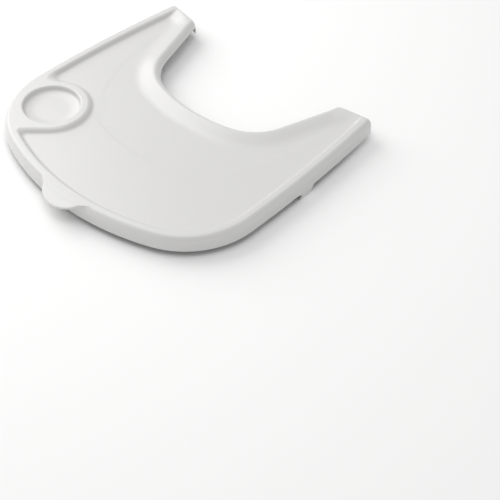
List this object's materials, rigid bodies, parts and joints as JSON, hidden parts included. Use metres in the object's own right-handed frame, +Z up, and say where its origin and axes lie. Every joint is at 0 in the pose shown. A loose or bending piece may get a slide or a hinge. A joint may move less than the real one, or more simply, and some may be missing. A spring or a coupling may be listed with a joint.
{
  "type": "high chair tray",
  "caption": "U-shaped high chair tray with belly cut-out, raised rim, cup recess and front thumb lip over a squeeze paddle that draws in two spring latches.",
  "frame": {"origin": "centre of the tray's bounding box on the centre line, level with the front feet and the bottoms of the side hooks", "axes": "+Z up, +Y towards the child and the belly cut-out, +X to the tray's right as seen from the front with the cup ring on -X"},
  "size_m": [0.44, 0.4288, 0.0336],
  "materials": {
    "white_shell": "satin gloss injection moulded polypropylene",
    "white_cover": "fine matte moulded plastic",
    "paddle_plastic": "fine matte moulded plastic",
    "acetal": "natural acetal, slightly waxy",
    "soft_pad": "soft matte elastomer",
    "rod_steel": "drawn bright steel",
    "spring_steel": "bright spring wire",
    "screw_steel": "zinc plated"
  },
  "bodies": {
    "tray": {"tray_shell": "white_shell", "mechanism_cover": "white_cover", "cover_screws": "screw_steel", "guide_screws": "screw_steel", "rail_guide_right": "white_cover", "rail_guide_left": "white_cover", "rail_pad_right": "soft_pad", "rail_pad_left": "soft_pad", "front_foot_right": "soft_pad", "front_foot_left": "soft_pad"},
    "release": {"pull_bar": "acetal", "release_paddle": "paddle_plastic"},
    "latch_right": {"latch_rod_right": "rod_steel", "cam_pin_right": "rod_steel", "latch_bolt_right": "acetal", "return_spring_right": "spring_steel"},
    "latch_left": {"latch_rod_left": "rod_steel", "cam_pin_left": "rod_steel", "latch_bolt_left": "acetal", "return_spring_left": "spring_steel"}
  },
  "joints": [
    {"name": "paddle_squeeze", "type": "slide", "parent": "tray", "child": "release", "axis": [0, -1, 0], "range_m": [0, 0.01], "stiffness_N_per_m": 2200, "springref_m": -0.004},
    {"name": "latch_right_slide", "type": "slide", "parent": "tray", "child": "latch_right", "axis": [-1, 0, 0], "range_m": [0, 0.01], "deforming": ["return_spring_right"]},
    {"name": "latch_left_slide", "type": "slide", "parent": "tray", "child": "latch_left", "axis": [1, 0, 0], "range_m": [0, 0.01], "deforming": ["return_spring_left"]}
  ],
  "couplings": [
    {"joint": "latch_right_slide", "follows": "paddle_squeeze", "ratio": 1},
    {"joint": "latch_left_slide", "follows": "paddle_squeeze", "ratio": 1}
  ]
}
